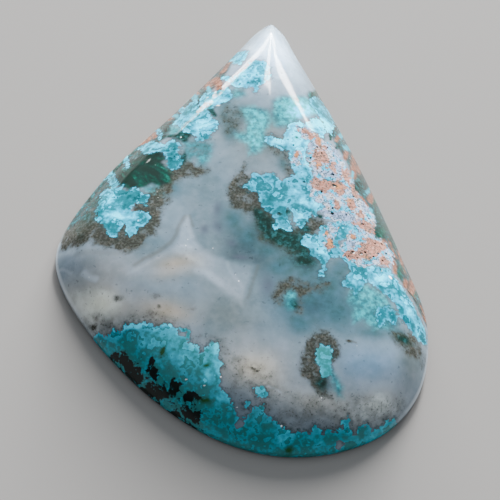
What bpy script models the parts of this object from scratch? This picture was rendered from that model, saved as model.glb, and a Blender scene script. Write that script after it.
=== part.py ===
"""Chrysocolla cabochon: a freeform drop cut and polished from one piece of chrysocolla in chalcedony.

It is one solid with a flat ground back, a thin upright girdle and a domed top, whose shoulder rises
steeply from the girdle and then levels off to a low crown. A soft ridge runs up to the drop's point.
Metres, +Z up. The origin is in the plane of the back, under the middle of the bounding box, and the
point of the drop is towards +Y.
"""

import bpy
import bmesh
import numpy as np
from mathutils import Vector
from mathutils.geometry import interpolate_bezier

MM = 0.001

# Driving dimensions, in millimetres.
LENGTH = 41.6
WIDTH = 30.8
HEIGHT = 5.0
BACK_BEVEL = 0.3
GIRDLE_TOP = 0.8
SHOULDER_RISE = 2.9
SHOULDER_REACH = 2.0
CROWN_REACH = 11.8
CROWN_MIDDLE = (0.0, -5.0)

# The outline of the girdle in millimetres, clockwise from the point of the drop. The curve through
# these is then fitted to LENGTH and WIDTH.
OUTLINE = (
    (0.4, 20.75),
    (1.4, 20.0),
    (2.75, 17.65),
    (7.8, 8.9),
    (12.5, -0.95),
    (15.1, -7.6),
    (14.9, -13.6),
    (12.7, -17.4),
    (8.9, -19.85),
    (4.2, -20.85),
    (-0.6, -20.1),
    (-5.6, -17.5),
    (-11.4, -12.3),
    (-14.9, -7.1),
    (-15.35, -4.2),
    (-12.5, 2.6),
    (-6.7, 10.9),
    (-2.25, 17.5),
    (-0.65, 19.9),
)
STEPS_PER_SPAN = 8

# How the rings of the dome close in on its middle, as shares of the way from the girdle.
RINGS = 22
RING_CROWDING = 1.7
# The dome follows the distance to the nearest flank. A high power keeps the ridge between two flanks
# narrow, and a low one rounds it more.
RIDGE_POWER = 8


def remove_scene_objects():
    for obj in list(bpy.data.objects):
        bpy.data.objects.remove(obj, do_unlink=True)


def handle_reach(before, here, after):
    """A smooth direction through a point, sized by the distances to its neighbours."""
    near = (here - before).length ** 0.5
    far = (after - here).length ** 0.5
    return (here - before) / near - (after - before) / (near + far) + (after - here) / far


def outline_curve():
    """The girdle's outline as an array of (x, y) in millimetres."""
    points = [Vector(point) for point in OUTLINE]
    count = len(points)
    curve = []
    for i, start in enumerate(points):
        end = points[(i + 1) % count]
        reach = (end - start).length ** 0.5 / 3
        leave = start + reach * handle_reach(points[i - 1], start, end)
        arrive = end - reach * handle_reach(start, end, points[(i + 2) % count])
        curve += interpolate_bezier(start, leave, arrive, end, STEPS_PER_SPAN + 1)[:-1]
    curve = np.array(curve)
    low, high = curve.min(axis=0), curve.max(axis=0)
    return (curve - (low + high) / 2) * (WIDTH, LENGTH) / (high - low)


def distance_to_line(places, line):
    """How far each place lies from a line of points."""
    nearest = np.full(len(places), np.inf)
    for start, end in zip(line[:-1], line[1:]):
        along = end - start
        share = np.clip((places - start) @ along / (along @ along), 0, 1)
        gap = np.linalg.norm(places - start - share[:, None] * along, axis=1)
        nearest = np.minimum(nearest, gap)
    return nearest


def flanks(outline):
    """The outline's right flank, lower edge and left flank."""
    corners = [outline[:, 1].argmax(), outline[:, 0].argmax(), outline[:, 0].argmin()]
    for first, last in zip(corners, corners[1:] + corners[:1]):
        steps = (last - first) % len(outline) + 1
        yield outline[(first + np.arange(steps)) % len(outline)]


def inset(places, outline):
    """The distance in from the girdle, blended softly where two flanks are as near."""
    near = [np.maximum(distance_to_line(places, flank), 1e-6) for flank in flanks(outline)]
    return sum(distance**-RIDGE_POWER for distance in near) ** (-1 / RIDGE_POWER)


def dome_height(distance):
    """The height of the top at a distance in from the girdle, in millimetres."""
    crown_rise = HEIGHT - GIRDLE_TOP - SHOULDER_RISE
    crown = 1 - (1 - np.minimum(distance / CROWN_REACH, 1)) ** 2
    return GIRDLE_TOP + SHOULDER_RISE * np.tanh(distance / SHOULDER_REACH) + crown_rise * crown


def ring_of_points(mesh, places, heights):
    """Adds one closed ring of vertices."""
    ring = []
    for (x, y), z in zip(places, heights):
        ring.append(mesh.verts.new((x * MM, y * MM, z * MM)))
    return ring


def bridge(mesh, lower, upper):
    """Joins two rings of as many vertices with quads."""
    for i in range(len(lower)):
        mesh.faces.new((lower[i - 1], upper[i - 1], upper[i], lower[i]))


def cabochon_mesh():
    outline = outline_curve()
    middle = np.array(CROWN_MIDDLE)
    shape = bmesh.new()
    inward = (middle - outline) / np.linalg.norm(middle - outline, axis=1)[:, None]
    level = np.ones(len(outline))
    back_edge = ring_of_points(shape, outline + inward * BACK_BEVEL, level * 0)
    shape.faces.new(back_edge)
    below = back_edge
    for height in (BACK_BEVEL, GIRDLE_TOP):
        ring = ring_of_points(shape, outline, level * height)
        bridge(shape, below, ring)
        below = ring
    for i in range(1, RINGS):
        share = (i / RINGS) ** RING_CROWDING
        places = outline + (middle - outline) * share
        ring = ring_of_points(shape, places, dome_height(inset(places, outline)))
        bridge(shape, below, ring)
        below = ring
    top_height = dome_height(inset(middle[None], outline))
    top = ring_of_points(shape, middle[None], top_height)[0]
    for i in range(len(below)):
        shape.faces.new((below[i - 1], top, below[i]))
    bmesh.ops.recalc_face_normals(shape, faces=shape.faces)
    mesh = bpy.data.meshes.new("chrysocolla_cabochon")
    shape.to_mesh(mesh)
    shape.free()
    mesh.shade_smooth()
    mesh.set_sharp_from_angle(angle=np.radians(35))
    return mesh


def polished_stone():
    material = bpy.data.materials.new("polished_chrysocolla")
    material.use_nodes = True
    shader = material.node_tree.nodes["Principled BSDF"]
    shader.inputs["Base Color"].default_value = (0.16, 0.36, 0.40, 1.0)
    shader.inputs["Roughness"].default_value = 0.12
    shader.inputs["Metallic"].default_value = 0.0
    return material


def build():
    remove_scene_objects()
    collection = bpy.data.collections.new("chrysocolla_specimen")
    bpy.context.scene.collection.children.link(collection)
    cabochon = bpy.data.objects.new("cabochon", cabochon_mesh())
    cabochon.data.materials.append(polished_stone())
    collection.objects.link(cabochon)


build()
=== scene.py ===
"""Looks of the chrysocolla cabochon: one polished stone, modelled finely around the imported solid."""

import math

import bpy
import numpy as np
from mathutils import Matrix, Vector
from mathutils.geometry import delaunay_2d_cdt, interpolate_bezier


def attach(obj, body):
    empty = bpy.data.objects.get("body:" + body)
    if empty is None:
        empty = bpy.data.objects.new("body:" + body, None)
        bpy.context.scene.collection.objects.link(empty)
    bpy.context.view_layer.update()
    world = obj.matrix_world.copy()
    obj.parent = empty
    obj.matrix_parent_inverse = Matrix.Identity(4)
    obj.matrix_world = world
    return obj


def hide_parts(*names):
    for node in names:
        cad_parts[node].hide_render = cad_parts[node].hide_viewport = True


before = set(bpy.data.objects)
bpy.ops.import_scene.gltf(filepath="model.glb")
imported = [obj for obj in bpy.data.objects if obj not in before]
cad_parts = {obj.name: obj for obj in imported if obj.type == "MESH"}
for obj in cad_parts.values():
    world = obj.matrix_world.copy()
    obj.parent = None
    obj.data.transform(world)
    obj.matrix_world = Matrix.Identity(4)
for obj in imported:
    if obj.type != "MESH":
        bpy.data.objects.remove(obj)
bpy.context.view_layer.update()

MM = 0.001

# ---------------------------------------------------------------- the stone's shape, in millimetres
LENGTH = 41.6
WIDTH = 30.8
HEIGHT = 5.0
BACK_BEVEL = 0.3
GIRDLE_TOP = 0.8
SHOULDER_RISE = 2.9
SHOULDER_REACH = 2.0
CROWN_REACH = 11.8
RIDGE_POWER = 8
STEPS_PER_SPAN = 8
OUTLINE = (
    (0.4, 20.75), (1.4, 20.0), (2.75, 17.65), (7.8, 8.9), (12.5, -0.95), (15.1, -7.6), (14.9, -13.6),
    (12.7, -17.4), (8.9, -19.85), (4.2, -20.85), (-0.6, -20.1), (-5.6, -17.5), (-11.4, -12.3),
    (-14.9, -7.1), (-15.35, -4.2), (-12.5, 2.6), (-6.7, 10.9), (-2.25, 17.5), (-0.65, 19.9),
)

TOP_SPACING = 0.115
BACK_SPACING = 0.3
RIM_INSETS = (0.05, 0.12, 0.21, 0.31)


def handle_reach(before, here, after):
    """A smooth direction through a point, sized by the distances to its neighbours."""
    near = (here - before).length ** 0.5
    far = (after - here).length ** 0.5
    return (here - before) / near - (after - before) / (near + far) + (after - here) / far


def outline_curve(steps):
    """The girdle's outline as an array of (x, y)."""
    points = [Vector(point) for point in OUTLINE]
    count = len(points)
    curve = []
    for i, start in enumerate(points):
        end = points[(i + 1) % count]
        reach = (end - start).length ** 0.5 / 3
        leave = start + reach * handle_reach(points[i - 1], start, end)
        arrive = end - reach * handle_reach(start, end, points[(i + 2) % count])
        curve += interpolate_bezier(start, leave, arrive, end, steps + 1)[:-1]
    curve = np.array(curve)
    low, high = curve.min(axis=0), curve.max(axis=0)
    return (curve - (low + high) / 2) * (WIDTH, LENGTH) / (high - low)


def distance_to_line(places, line):
    """How far each place lies from a line of points."""
    nearest = np.full(len(places), np.inf)
    for start, end in zip(line[:-1], line[1:]):
        along = end - start
        share = np.clip((places - start) @ along / (along @ along), 0, 1)
        gap = places - start - share[:, None] * along
        nearest = np.minimum(nearest, np.einsum("ij,ij->i", gap, gap))
    return np.sqrt(nearest)


def flanks(outline):
    """The outline's right flank, lower edge and left flank."""
    corners = [outline[:, 1].argmax(), outline[:, 0].argmax(), outline[:, 0].argmin()]
    for first, last in zip(corners, corners[1:] + corners[:1]):
        steps = (last - first) % len(outline) + 1
        yield outline[(first + np.arange(steps)) % len(outline)]


def inset(places, outline):
    """The distance in from the girdle, blended softly where two flanks are as near."""
    near = [np.maximum(distance_to_line(places, flank), 1e-6) for flank in flanks(outline)]
    return sum(distance**-RIDGE_POWER for distance in near) ** (-1 / RIDGE_POWER)


def dome_height(distance):
    """The height of the top at a distance in from the girdle."""
    crown_rise = HEIGHT - GIRDLE_TOP - SHOULDER_RISE
    crown = 1 - (1 - np.minimum(distance / CROWN_REACH, 1)) ** 2
    return GIRDLE_TOP + SHOULDER_RISE * np.tanh(distance / SHOULDER_REACH) + crown_rise * crown


def inside(places, outline):
    """Which places lie inside a closed outline."""
    within = np.zeros(len(places), bool)
    x, y = places[:, 0], places[:, 1]
    for (ax, ay), (bx, by) in zip(outline, np.roll(outline, -1, axis=0)):
        crosses = (ay > y) != (by > y)
        if ay != by:
            within ^= crosses & (x < (bx - ax) * (y - ay) / (by - ay) + ax)
    return within


def resample(loop, spacing):
    """The closed loop with its points evenly spaced."""
    closed = np.vstack([loop, loop[:1]])
    run = np.concatenate([[0], np.cumsum(np.linalg.norm(np.diff(closed, axis=0), axis=1))])
    count = int(round(run[-1] / spacing))
    at = np.linspace(0, run[-1], count, endpoint=False)
    return np.column_stack([np.interp(at, run, closed[:, axis]) for axis in (0, 1)])


def pulled_in(loop, distance):
    """The loop moved inwards along its normals. It runs clockwise."""
    along = np.roll(loop, -1, axis=0) - np.roll(loop, 1, axis=0)
    along /= np.linalg.norm(along, axis=1)[:, None]
    return loop + distance * np.column_stack([along[:, 1], -along[:, 0]])


def filled(loops, spacing, clear):
    """Triangles over the area inside the first loop, with even points and the loops' own."""
    low, high = loops[0].min(axis=0), loops[0].max(axis=0)
    row_gap = spacing * math.sqrt(3) / 2
    xs, ys = np.arange(low[0], high[0], spacing), np.arange(low[1], high[1], row_gap)
    x, y = np.meshgrid(xs, ys)
    x[1::2] += spacing / 2
    grid = np.column_stack([x.ravel(), y.ravel()])
    grid = grid[inside(grid, loops[-1])]
    grid = grid[distance_to_line(grid, np.vstack([loops[-1], loops[-1][:1]])) > clear]
    places = np.vstack(list(loops) + [grid])
    count = len(loops[0])
    edges = [(i, (i + 1) % count) for i in range(count)]
    result = delaunay_2d_cdt([Vector(place) for place in places], edges, [], 1, 1e-7)
    points = np.array([tuple(point) for point in result[0]])
    return points, np.array(result[2])


def stone_mesh():
    outline = outline_curve(STEPS_PER_SPAN)
    girdle = resample(outline_curve(24), TOP_SPACING)
    rims = [girdle] + [pulled_in(girdle, distance) for distance in RIM_INSETS]
    top, top_faces = filled(rims, TOP_SPACING, TOP_SPACING * 0.6)
    count = len(girdle)
    heights = dome_height(inset(top, outline))
    heights[:count] = GIRDLE_TOP
    top = np.column_stack([top, heights])
    rings = [np.column_stack([girdle, np.full(count, BACK_BEVEL)])]
    back_edge = pulled_in(girdle, BACK_BEVEL)
    back, back_faces = filled([back_edge], BACK_SPACING, BACK_SPACING * 0.5)
    back = np.column_stack([back, np.zeros(len(back))])
    points = np.vstack([top] + rings + [back])
    ring_start, back_start = len(top), len(top) + count
    faces = [tuple(face) for face in top_faces]
    faces += [tuple(back_start + face[::-1]) for face in back_faces]
    for lower, upper in ((ring_start, 0), (back_start, ring_start)):
        for i in range(count):
            j = (i + 1) % count
            faces.append((lower + i, upper + i, upper + j, lower + j))
    return points, faces



# ---------------------------------------------------------------- noise and drawn shapes, in millimetres
def lattice_noise(places, size, seed):
    """Smooth noise between -1 and 1, with features of about this size."""
    table = np.random.default_rng(seed).uniform(-1, 1, (32, 32, 32))
    at = places / size + 1000
    cell = np.floor(at).astype(int)
    ease = at - cell
    ease = ease * ease * (3 - 2 * ease)
    total = np.zeros(len(places))
    for corner in np.ndindex(2, 2, 2):
        weight = np.prod(np.where(corner, ease, 1 - ease), axis=1)
        x, y, z = ((cell + corner) % 32).T
        total += weight * table[x, y, z]
    return total


def fractal_noise(places, size, octaves, seed):
    """Octaves of noise, each half the size and six tenths the strength of the one before."""
    total, strength, whole = np.zeros(len(places)), 1.0, 0.0
    for octave in range(octaves):
        total += strength * lattice_noise(places, size * 0.5**octave, seed + octave)
        whole += strength
        strength *= 0.6
    return total / whole


def ease(value, low, high):
    """0 below low, 1 above high and smooth between. low may be the larger."""
    share = np.clip((value - low) / (high - low), 0, 1)
    return share * share * (3 - 2 * share)


FAR = 3.0


def patch(places, points):
    """How far inside a closed outline each place lies. It is negative outside, and no less than -FAR."""
    points = np.array(points, float)
    low, high = points.min(axis=0) - FAR, points.max(axis=0) + FAR
    near = ((places > low) & (places < high)).all(axis=1)
    depth = np.full(len(places), -FAR)
    gap = distance_to_line(places[near], np.vstack([points, points[:1]]))
    depth[near] = np.maximum(np.where(inside(places[near], points), gap, -gap), -FAR)
    return depth


def patches(places, outlines):
    """The depth inside whichever outline is deepest."""
    return np.max([patch(places, points) for points in outlines], axis=0)


def trail(places, points, radius):
    """How far inside a rounded band along a line of points each place lies."""
    points = np.array(points, float)
    low, high = points.min(axis=0) - FAR, points.max(axis=0) + FAR
    near = ((places > low) & (places < high)).all(axis=1)
    depth = np.full(len(places), -FAR)
    depth[near] = np.maximum(radius - distance_to_line(places[near], points), -FAR)
    return depth


def strokes(places, lines):
    """Soft bands, each drawn along its points with half its width."""
    return np.max([ease(trail(places, points, 1.6 * wide), 0, 1.2 * wide) for points, wide in lines], axis=0)


def spot(places, x, y, across, along, turn=0):
    """An oval that fades from 1 at its middle to 0.14 at its edge. turn is in degrees."""
    c, s = math.cos(math.radians(turn)), math.sin(math.radians(turn))
    dx, dy = places[:, 0] - x, places[:, 1] - y
    return np.exp(-2 * (((c * dx + s * dy) / across) ** 2 + ((c * dy - s * dx) / along) ** 2))


def spots(places, ovals):
    """Soft ovals laid over each other."""
    clear = np.ones(len(places))
    for oval in ovals:
        clear *= 1 - np.clip(spot(places, *oval), 0, 1)
    return 1 - clear


def toned(places, base, ovals):
    """A level that each soft oval, whose last number is a level, draws towards its own."""
    level = np.full(len(places), float(base))
    for *oval, goal in ovals:
        level += (goal - level) * spot(places, *oval)
    return level


# ---------------------------------------------------------------- where each mineral lies, seen from above
# Crisp chrysocolla crusts.
ROSETTE = (
    (-12.4, 0.65), (-12.0, 0.95), (-11.6, 0.7), (-11.0, 0.7), (-10.6, 0.9), (-10.55, 0.3), (-10.1, 0.1),
    (-9.7, 0.4), (-9.3, 0.25), (-8.9, -0.2), (-8.3, -0.4), (-8.35, -0.7), (-8.65, -0.95), (-8.4, -1.55),
    (-9.05, -1.15), (-9.4, -1.15), (-9.55, -1.5), (-9.2, -2.0), (-8.4, -2.2), (-8.05, -2.75), (-8.4, -3.35),
    (-8.9, -3.85), (-9.05, -4.3), (-9.6, -4.6), (-9.9, -4.4), (-9.95, -3.35), (-10.2, -3.35), (-10.3, -3.65),
    (-10.55, -3.95), (-10.55, -4.7), (-11.3, -4.55), (-11.5, -3.95), (-12.0, -3.25), (-12.35, -2.9),
    (-12.55, -1.55), (-12.3, -0.1),
)
UPPER_LEFT = (
    (-6.9, 8.3), (-6.4, 9.8), (-5.9, 10.6), (-5.3, 10.6), (-5.4, 9.3), (-4.6, 9.0), (-3.85, 8.05), (-3.45, 7.4),
    (-3.55, 6.6), (-3.9, 6.0), (-4.0, 5.6), (-4.65, 5.4), (-5.1, 5.5), (-5.1, 6.15), (-5.65, 6.3), (-6.2, 6.6),
    (-6.5, 7.15), (-7.0, 7.8),
)
LEFT_BLOCK = (
    (-7.5, 5.15), (-7.0, 5.7), (-6.5, 5.3), (-6.3, 5.0), (-6.4, 4.2), (-5.95, 3.3), (-6.1, 2.65), (-6.85, 2.3),
    (-7.3, 2.75), (-7.45, 3.95), (-7.85, 4.5), (-9.05, 4.4), (-9.4, 5.1), (-9.7, 6.0), (-9.0, 5.9),
    (-8.4, 5.7), (-8.05, 5.15),
)
TIP_EDGE = (
    (-2.5, 17.8), (-1.85, 16.9), (-1.4, 16.2), (-1.55, 15.35), (-2.05, 14.4), (-2.4, 14.7), (-2.8, 15.9),
    (-3.2, 16.9),
)
TIP_PATCH = (
    (-1.1, 14.5), (-0.05, 14.6), (0.5, 13.8), (0.65, 12.6), (0.0, 11.9), (-0.35, 11.5), (-0.4, 10.8),
    (-0.65, 11.05), (-0.85, 11.5), (-1.55, 11.3), (-2.4, 11.5), (-2.9, 12.3), (-1.6, 13.6),
)
TIP_LOWER = (
    (-4.9, 11.4), (-3.9, 11.2), (-3.0, 11.5), (-2.55, 10.9), (-2.4, 10.2), (-3.0, 9.7), (-3.6, 9.5),
    (-4.0, 9.0), (-4.7, 8.9), (-5.1, 9.8),
)
FISH = (
    (0.6, 6.3), (1.1, 6.6), (1.6, 6.15), (2.1, 6.3), (2.3, 7.2), (2.8, 8.2), (3.3, 8.6), (3.8, 8.4), (4.2, 9.0),
    (4.8, 9.6), (5.4, 9.2), (5.7, 8.2), (5.5, 7.3), (5.0, 7.7), (4.2, 7.9), (3.3, 7.6), (3.0, 6.6),
    (2.7, 5.4), (2.2, 5.1), (1.7, 5.35), (0.8, 5.5), (0.65, 5.9),
)
MIDDLE = (
    (-1.0, 1.0), (-0.5, 1.4), (-0.3, 1.9), (-0.05, 2.5), (0.55, 2.4), (1.1, 2.65), (1.8, 2.6), (2.05, 2.15),
    (2.45, 2.1), (2.75, 2.4), (3.2, 2.9), (4.4, 2.2), (5.6, 0.6), (6.2, -0.2), (5.4, -0.3), (5.2, -1.2),
    (4.9, -0.6), (4.6, -1.4), (4.0, -2.4), (3.55, -1.6), (3.4, -0.95), (3.1, -0.5), (2.95, -1.4),
    (3.3, -2.0), (3.45, -2.65), (2.95, -2.85), (2.45, -2.45), (1.85, -2.8), (2.0, -1.65), (1.4, -1.15),
    (0.85, -0.7), (0.55, 0.0), (0.35, 0.6), (-0.25, 0.6),
)
MATRIX_RIM = (
    (2.5, 8.0), (3.4, 8.6), (4.2, 7.6), (4.4, 6.6), (4.1, 5.6), (4.2, 4.6), (4.6, 3.8), (4.8, 3.0), (4.5, 2.2),
    (3.4, 2.4), (3.2, 3.3), (2.8, 4.2), (2.7, 5.2), (2.4, 6.4),
)
LOWER_RIGHT = (
    (5.7, -2.1), (5.9, -1.7), (6.3, -1.5), (6.7, -1.9), (7.0, -1.2), (7.6, -1.0), (8.6, -1.1), (9.4, -1.6),
    (9.6, -2.2), (9.2, -2.8), (8.4, -2.7), (7.9, -2.6), (7.3, -2.9), (7.5, -3.6), (7.9, -4.3), (8.6, -4.8),
    (9.8, -5.0), (9.9, -6.3), (9.6, -6.8), (9.2, -7.3), (8.9, -7.9), (8.6, -7.4), (8.0, -7.4), (7.7, -7.0),
    (8.1, -6.3), (8.4, -5.9), (8.0, -5.0), (7.4, -4.5), (6.8, -4.7), (6.4, -5.1), (6.3, -6.6), (6.05, -6.9),
    (5.9, -6.3), (6.1, -5.5), (5.8, -5.2), (5.4, -4.8), (5.0, -4.9), (4.9, -4.2), (4.3, -3.8), (4.2, -3.4),
    (4.5, -2.8), (5.0, -2.9), (5.6, -2.7),
)
RIGHT_WING = (
    (10.0, -5.0), (10.6, -4.7), (11.4, -4.6), (12.0, -5.2), (12.6, -5.8), (13.2, -6.4), (13.9, -7.2),
    (14.6, -8.0), (15.2, -8.8), (15.2, -9.8), (14.4, -10.2), (13.6, -9.6), (13.0, -9.3), (12.5, -8.7),
    (12.2, -8.1), (11.8, -7.6), (11.0, -7.2), (10.4, -6.8), (9.9, -6.2), (9.7, -5.5),
)
RIGHT_TAIL = (
    (10.9, -8.7), (11.4, -8.5), (12.0, -8.5), (12.5, -9.0), (12.4, -9.6), (12.0, -10.0), (11.8, -9.6),
    (11.4, -9.6), (11.3, -10.2), (11.0, -10.4), (10.8, -9.9), (10.7, -9.2),
)
NEAR_LEFT = (
    (-11.45, -12.05), (-10.95, -12.1), (-10.4, -12.5), (-9.95, -12.2), (-9.4, -12.45), (-9.0, -12.05),
    (-8.4, -12.3), (-7.7, -12.0), (-7.25, -12.2), (-6.6, -12.55), (-6.1, -12.1), (-5.5, -12.3),
    (-5.05, -12.6), (-4.9, -13.0), (-4.4, -13.1), (-4.05, -13.75), (-3.25, -14.0), (-3.0, -14.5),
    (-2.6, -14.1), (-2.1, -13.6), (-1.6, -13.5), (-1.55, -14.0), (-1.6, -14.75), (-1.2, -15.25),
    (-1.4, -15.9), (-1.2, -16.5), (-1.25, -17.0), (-0.5, -17.6), (0.1, -18.55), (0.5, -19.1), (1.0, -22.0),
    (-9.0, -22.0), (-13.0, -13.0),
)
NEAR_EDGE = (
    (0.5, -19.1), (1.2, -19.0), (1.6, -18.55), (2.05, -18.25), (2.4, -18.25), (2.35, -18.7), (2.95, -19.0),
    (3.3, -19.1), (4.0, -19.45), (4.75, -19.7), (5.65, -19.6), (6.3, -19.7), (6.4, -19.15), (6.85, -19.15),
    (7.2, -19.5), (7.5, -19.15), (8.35, -19.0), (8.8, -18.7), (8.55, -18.4), (9.0, -18.1), (9.3, -18.3),
    (9.25, -18.75), (10.0, -18.85), (10.0, -18.5), (10.75, -18.0), (11.25, -18.2), (11.95, -17.8),
    (12.25, -17.2), (13.0, -16.85), (14.0, -17.5), (10.0, -22.0), (0.0, -22.0),
)
ISLAND = ((1.5, -17.05), (2.0, -16.8), (2.5, -17.2), (2.65, -17.6), (2.05, -17.7), (1.6, -17.5))
ISLET = ((0.8, -18.2), (1.15, -18.05), (1.3, -18.4), (0.9, -18.55))
EYE = (
    (6.1, -13.3), (6.4, -12.9), (7.2, -12.9), (7.4, -13.6), (7.3, -14.5), (7.45, -15.4), (6.9, -15.6),
    (6.6, -15.5), (6.4, -14.8), (6.0, -14.4),
)
FAR_CYAN = (
    (4.1, 11.6), (4.6, 12.4), (4.9, 13.0), (5.4, 13.1), (6.0, 12.2), (6.5, 11.2), (6.45, 10.2), (6.4, 9.2),
    (6.2, 8.2), (5.8, 8.4), (5.4, 9.4), (4.8, 10.2), (4.2, 11.0),
)
CRUSTS = (
    ROSETTE, UPPER_LEFT, LEFT_BLOCK, FAR_CYAN, TIP_EDGE, TIP_PATCH, TIP_LOWER, FISH, MIDDLE,
    MATRIX_RIM, LOWER_RIGHT, RIGHT_WING, RIGHT_TAIL, NEAR_LEFT, NEAR_EDGE, ISLAND, ISLET, EYE,
)
CRUST_HOLES = (
    (2.3, -1.2, 0.32, 0.32), (2.95, -0.95, 0.2, 0.35), (-9.55, -1.9, 0.35, 0.2), (7.6, -5.3, 0.5, 0.5),
    (0.7, -19.4, 0.45, 0.25), (8.7, -19.7, 0.9, 0.4, 25), (-4.6, -13.1, 0.22, 0.14),
)
CRUST_STRIPS = (
    (((-4.75, -12.65), (-4.35, -12.6), (-4.1, -12.9), (-4.15, -13.3), (-4.45, -13.4)), 0.16),
    (((-8.4, 8.5), (-8.15, 7.2), (-8.0, 6.2)), 0.12), (((-10.85, 5.6), (-10.6, 4.4), (-10.45, 3.2)), 0.14),
    (((-12.0, 3.9), (-11.7, 2.6), (-11.3, 1.0)), 0.26), (((-6.7, 10.9), (-6.3, 9.6), (-5.7, 8.6)), 0.2),
    (((-5.6, 10.8), (-5.2, 9.0)), 0.22), (((-9.4, 6.2), (-9.1, 4.8)), 0.28), (((-8.9, 6.0), (-8.2, 5.2)), 0.3),
    (((-3.2, 13.0), (-2.6, 12.4)), 0.25), (((-13.2, 1.9), (-12.4, 2.9)), 0.12),
)
# How pale the crust is: 0 is deep teal and 1 nearly white.
DEEP = 0.3
DARK_CYAN = 0.45
MIDDLE_CYAN = 0.6
CYAN = 0.75
LIGHT = 0.85
PALE = 0.95
PALEST = 1.05
CRUST_TONES = (
    (3.4, 8.6, 2.6, 2.2, 0, PALEST), (4.6, 5.6, 1.6, 3.2, -15, PALE), (-1.6, 13.2, 2.4, 4, 0, CYAN),
    (-10, -0.4, 1.3, 1, 0, DEEP), (-11.6, -0.6, 0.7, 1.5, 0, CYAN), (-10.6, -2.6, 1.9, 0.8, 0, PALE),
    (-12.4, -1.6, 0.4, 1.6, 0, DEEP), (-11.6, -3.7, 0.45, 1.2, 33, DEEP),
    (-10.7, -3.15, 0.35, 0.25, 0, DEEP), (-8.8, -2.9, 0.7, 0.9, 0, MIDDLE_CYAN),
    (-9.5, -4.2, 0.4, 0.5, 0, MIDDLE_CYAN), (-11.7, 2, 0.4, 1.4, 0, DARK_CYAN),
    (-4.6, 7.2, 1.4, 1.2, 0, PALE), (-4.5, 5.6, 0.7, 0.25, 0, DARK_CYAN),
    (-6, 8.2, 1, 0.9, 0, MIDDLE_CYAN), (-6.9, 3.9, 0.6, 1.3, 0, DEEP),
    (-8.6, 5.2, 1, 0.4, 0, MIDDLE_CYAN), (-2.2, 16, 0.7, 1.5, 20, CYAN), (-0.8, 13.2, 1.2, 1.4, 0, CYAN),
    (0.2, 13, 0.6, 0.9, 0, CYAN), (-0.6, 11.2, 0.3, 0.5, 0, CYAN), (-3.6, 10.2, 1.1, 0.8, 0, PALE),
    (1.6, 6, 1, 0.6, 0, PALE), (3.2, 6.4, 0.7, 1.6, 0, PALEST), (3.2, 4.4, 0.5, 0.8, 0, PALE),
    (5.6, 9.2, 1, 1.2, 0, PALEST), (6.4, 9.6, 0.4, 0.8, 0, LIGHT), (1, 1.6, 1.4, 1, 0, MIDDLE_CYAN),
    (2, 0.4, 1.4, 1, 0, MIDDLE_CYAN), (3.6, 1.2, 1, 1, 0, CYAN), (1.1, 0.2, 0.5, 0.9, 0, DARK_CYAN),
    (4.2, 0.3, 0.9, 0.7, 0, LIGHT), (2.9, -2.3, 0.6, 0.5, 0, CYAN), (3.9, -1.1, 0.5, 0.7, 0, LIGHT),
    (5.4, 0.6, 0.8, 0.8, 0, PALE), (5.1, -3.6, 1, 0.8, 0, CYAN), (6, -4.3, 0.7, 0.8, 0, LIGHT),
    (6.5, -2.4, 0.9, 0.9, 0, CYAN), (8.2, -1.7, 1, 0.6, 0, LIGHT), (8.8, -6.4, 0.9, 1, 0, CYAN),
    (11, -5.8, 1.2, 0.9, 0, PALE), (13.2, -7.8, 1.4, 0.6, -50, LIGHT),
    (12.7, -8.7, 1, 0.28, -40, DARK_CYAN), (14.3, -9.5, 0.5, 0.9, 0, CYAN),
    (14.2, -7.7, 0.3, 1.6, 38, MIDDLE_CYAN), (11.5, -9.3, 0.8, 0.7, 0, MIDDLE_CYAN),
    (6.7, -14.2, 0.9, 1.8, 0, MIDDLE_CYAN), (-9.8, -12.9, 2.2, 0.8, -15, MIDDLE_CYAN),
    (-7, -13.4, 1.6, 1.2, 0, CYAN), (-5.4, -13.6, 1, 1.6, 0, CYAN), (-8.4, -12.3, 1.8, 0.3, 0, LIGHT),
    (-5.9, -12.3, 0.8, 0.3, 0, LIGHT), (-4.2, -14.8, 1.2, 1.2, 0, CYAN),
    (-3.3, -14.1, 0.8, 0.4, 0, LIGHT), (-1.7, -14.1, 0.4, 0.8, 0, PALE),
    (-2.6, -15, 0.5, 1, 25, MIDDLE_CYAN), (-1.7, -15.5, 0.6, 0.8, 0, LIGHT),
    (-2.2, -16.4, 1, 0.6, 0, PALE), (-1, -17.8, 1.2, 0.7, 0, CYAN), (1.8, -19, 0.9, 0.6, 0, MIDDLE_CYAN),
    (4, -20, 1.4, 0.7, 0, CYAN), (6.5, -20, 1.5, 0.6, 0, MIDDLE_CYAN), (9, -18.5, 1, 0.5, 0, MIDDLE_CYAN),
    (11.5, -18.4, 1.6, 0.5, 35, CYAN), (2, -17.3, 0.6, 0.5, 0, CYAN),
    (-10.6, -13.2, 1.6, 0.4, -35, DARK_CYAN), (-8.6, -13.7, 1.4, 0.5, -20, DARK_CYAN),
    (-1.2, -19, 1.4, 0.5, -20, DARK_CYAN),
)

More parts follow.
